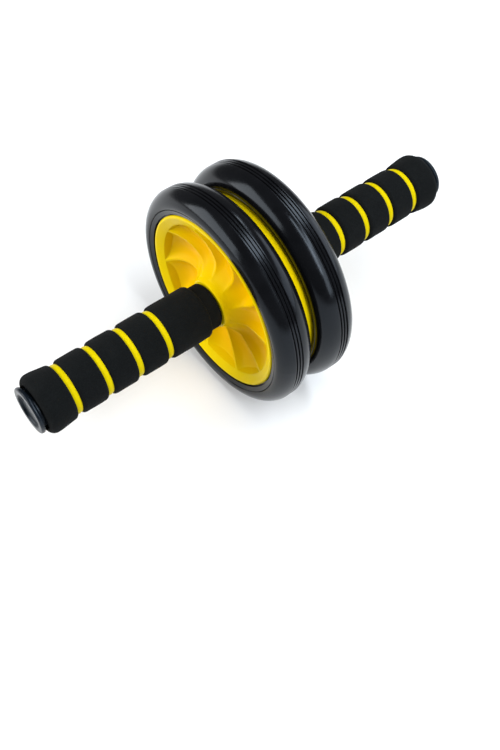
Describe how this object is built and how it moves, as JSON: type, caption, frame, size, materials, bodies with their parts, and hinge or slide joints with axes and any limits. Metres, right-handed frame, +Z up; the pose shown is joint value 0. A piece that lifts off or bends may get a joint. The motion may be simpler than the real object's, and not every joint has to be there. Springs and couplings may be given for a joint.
{
  "type": "ab wheel roller",
  "caption": "Hand exercise roller: a yellow swirl-faced wheel with black tyres spins on a steel axle between straight foam grips with yellow rings and flared, capped ends.",
  "frame": {"origin": "middle of the axle, half way between the two tyres and the two end caps", "axes": "+Y along the axle towards the left grip, +Z up, +X the rolling direction"},
  "size_m": [0.15, 0.3198, 0.15],
  "materials": {
    "wheel_yellow": "glossy moulded yellow plastic",
    "ring_yellow": "glossy moulded yellow plastic",
    "core_yellow": "plain yellow plastic, hidden under the foam",
    "tyre_rubber": "smooth black PVC rubber with a soft gloss",
    "grip_foam": "matt black closed-cell foam",
    "cap_black": "semi-gloss black plastic",
    "bush_black": "black nylon",
    "washer_nylon": "natural nylon",
    "axle_steel": "drawn steel tube"
  },
  "bodies": {
    "handle": {"axle_tube": "axle_steel", "thrust_washer_left": "washer_nylon", "thrust_washer_right": "washer_nylon", "grip_collar_left": "cap_black", "grip_collar_right": "cap_black", "grip_core_left": "core_yellow", "grip_core_right": "core_yellow", "end_cap_left": "cap_black", "end_cap_right": "cap_black", "grip_ring_1_left": "ring_yellow", "grip_ring_1_right": "ring_yellow", "grip_ring_2_left": "ring_yellow", "grip_ring_2_right": "ring_yellow", "grip_ring_3_left": "ring_yellow", "grip_ring_3_right": "ring_yellow", "grip_ring_4_left": "ring_yellow", "grip_ring_4_right": "ring_yellow", "grip_foam_1_left": "grip_foam", "grip_foam_1_right": "grip_foam", "grip_foam_2_left": "grip_foam", "grip_foam_2_right": "grip_foam", "grip_foam_3_left": "grip_foam", "grip_foam_3_right": "grip_foam", "grip_foam_4_left": "grip_foam", "grip_foam_4_right": "grip_foam", "grip_foam_5_left": "grip_foam", "grip_foam_5_right": "grip_foam"},
    "wheel": {"hub_bush_left": "bush_black", "hub_bush_right": "bush_black", "wheel_half_left": "wheel_yellow", "wheel_half_right": "wheel_yellow", "tyre_left": "tyre_rubber", "tyre_right": "tyre_rubber"}
  },
  "joints": [
    {"name": "wheel_spin", "type": "hinge", "parent": "handle", "child": "wheel", "pos_m": [0, 0, 0], "axis": [0, 1, 0], "continuous": true}
  ]
}
